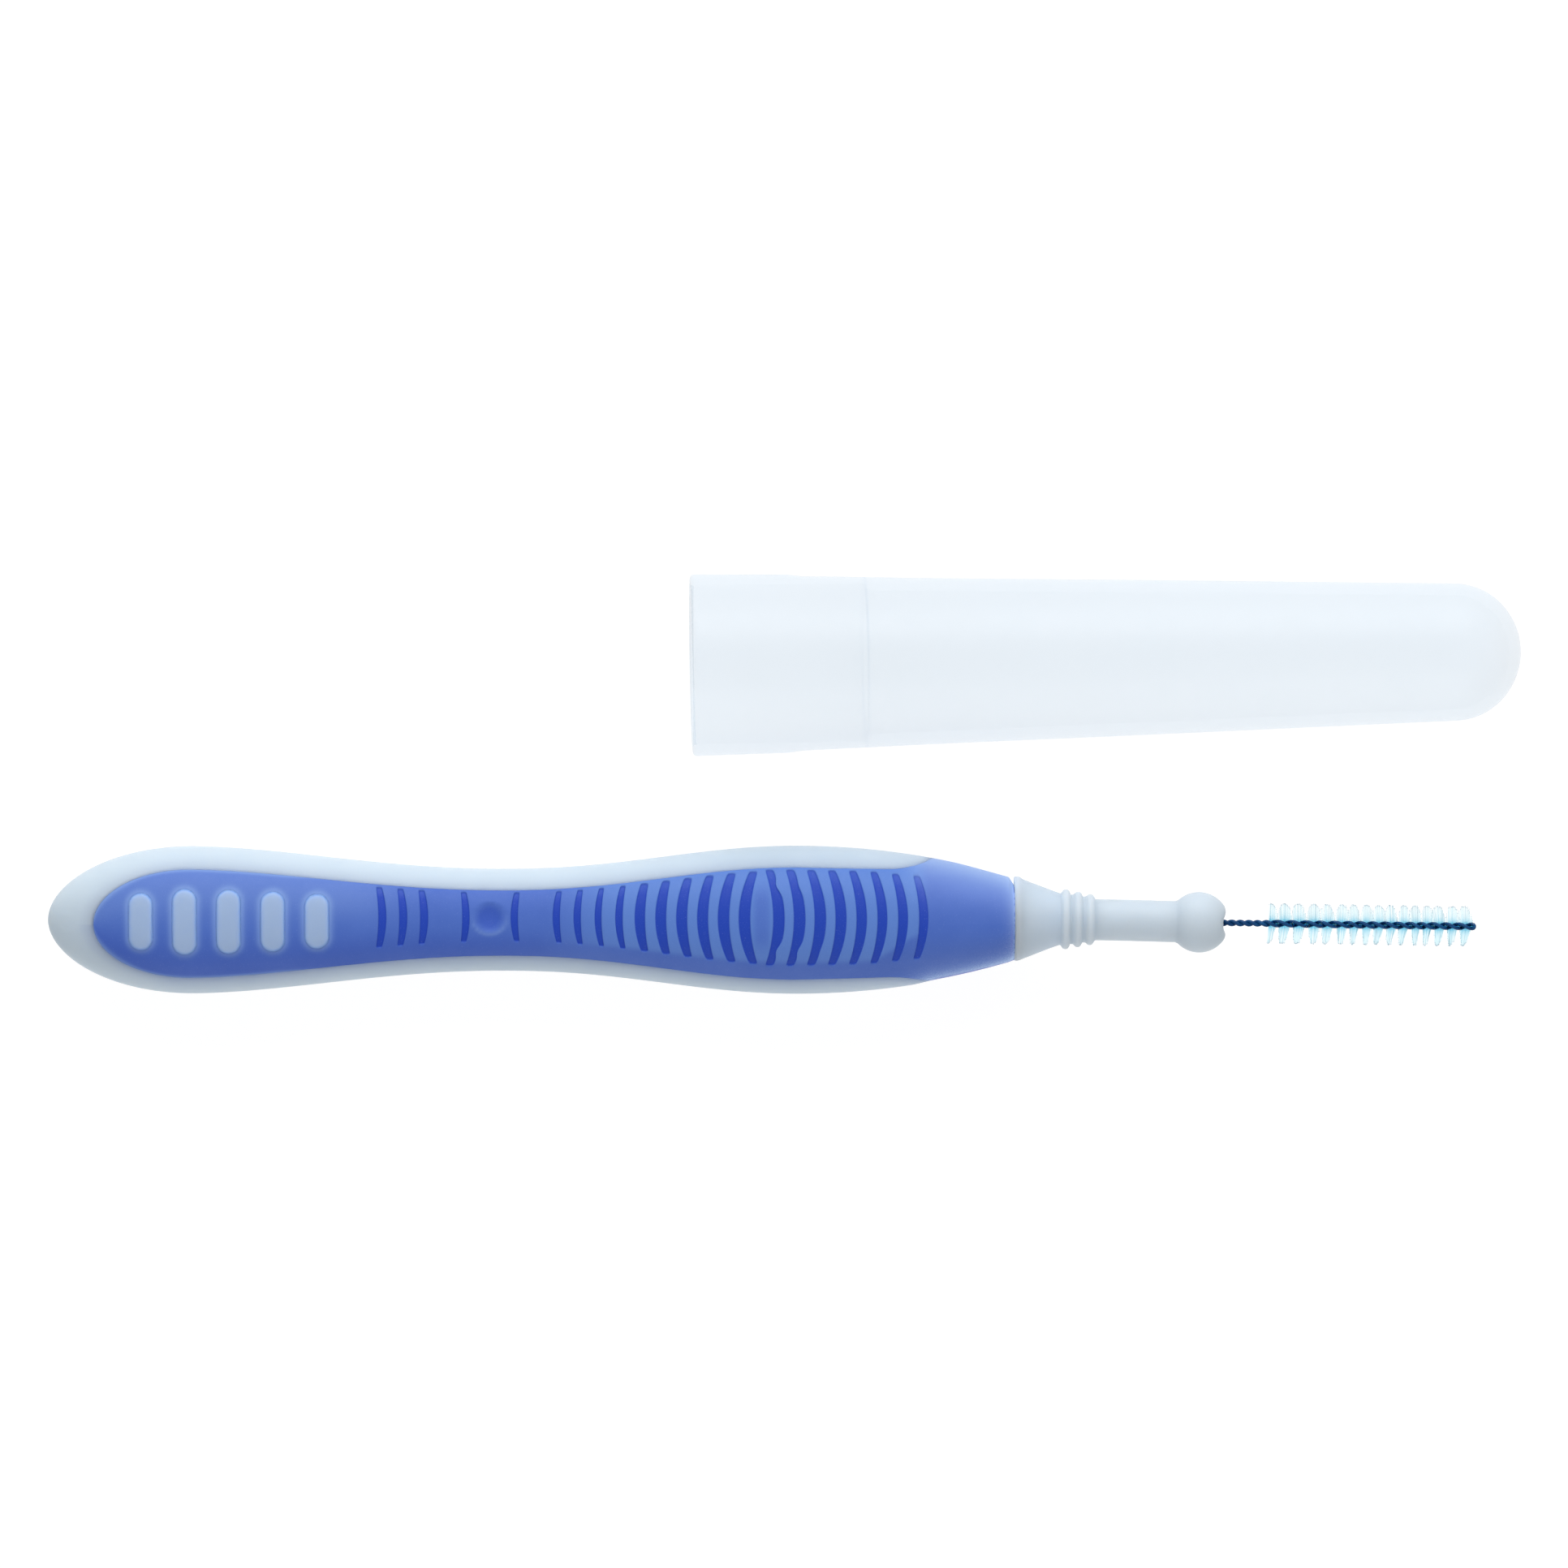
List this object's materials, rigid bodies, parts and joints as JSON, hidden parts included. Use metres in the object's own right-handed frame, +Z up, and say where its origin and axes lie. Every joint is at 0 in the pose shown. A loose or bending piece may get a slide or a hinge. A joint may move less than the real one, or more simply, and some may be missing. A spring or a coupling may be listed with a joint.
{
  "type": "interdental brush",
  "caption": "Pocket interdental brush: two-colour moulded handle, ribbed neck, bendable twisted-wire brush and a pull-off cap.",
  "frame": {"origin": "on the surface that the brush and its cap lie on, under the middle of the whole object", "axes": "+X from the handle's tail to the tip of the wire, +Y from the brush towards the cap beside it, +Z up"},
  "size_m": [0.0908, 0.0262, 0.0112],
  "materials": {
    "white_plastic": "fine satin moulding",
    "blue_rubber": "soft satin overmoulding",
    "coated_wire": "thin dark blue coating",
    "bristle_nylon": "translucent filament",
    "clear_plastic": "frosted translucent moulding"
  },
  "bodies": {
    "handle": {"handle_core": "white_plastic", "grip_cover": "blue_rubber", "neck": "white_plastic", "wire_root": "coated_wire"},
    "brush_head": {"wire_head": "coated_wire", "bristles": "bristle_nylon"},
    "cap": {"cap": "clear_plastic"}
  },
  "joints": [
    {"name": "wire_bend", "type": "hinge", "parent": "handle", "child": "brush_head", "pos_m": [0.02847, -0.00869, 0.00355], "axis": [-0.0148, -0.9999, 0], "range_deg": [0, 90], "deforming": ["wire_root"]},
    {"name": "cap_slide", "type": "slide", "parent": "handle", "child": "cap", "axis": [1, 0, 0], "range_m": [0, 0.049]}
  ]
}
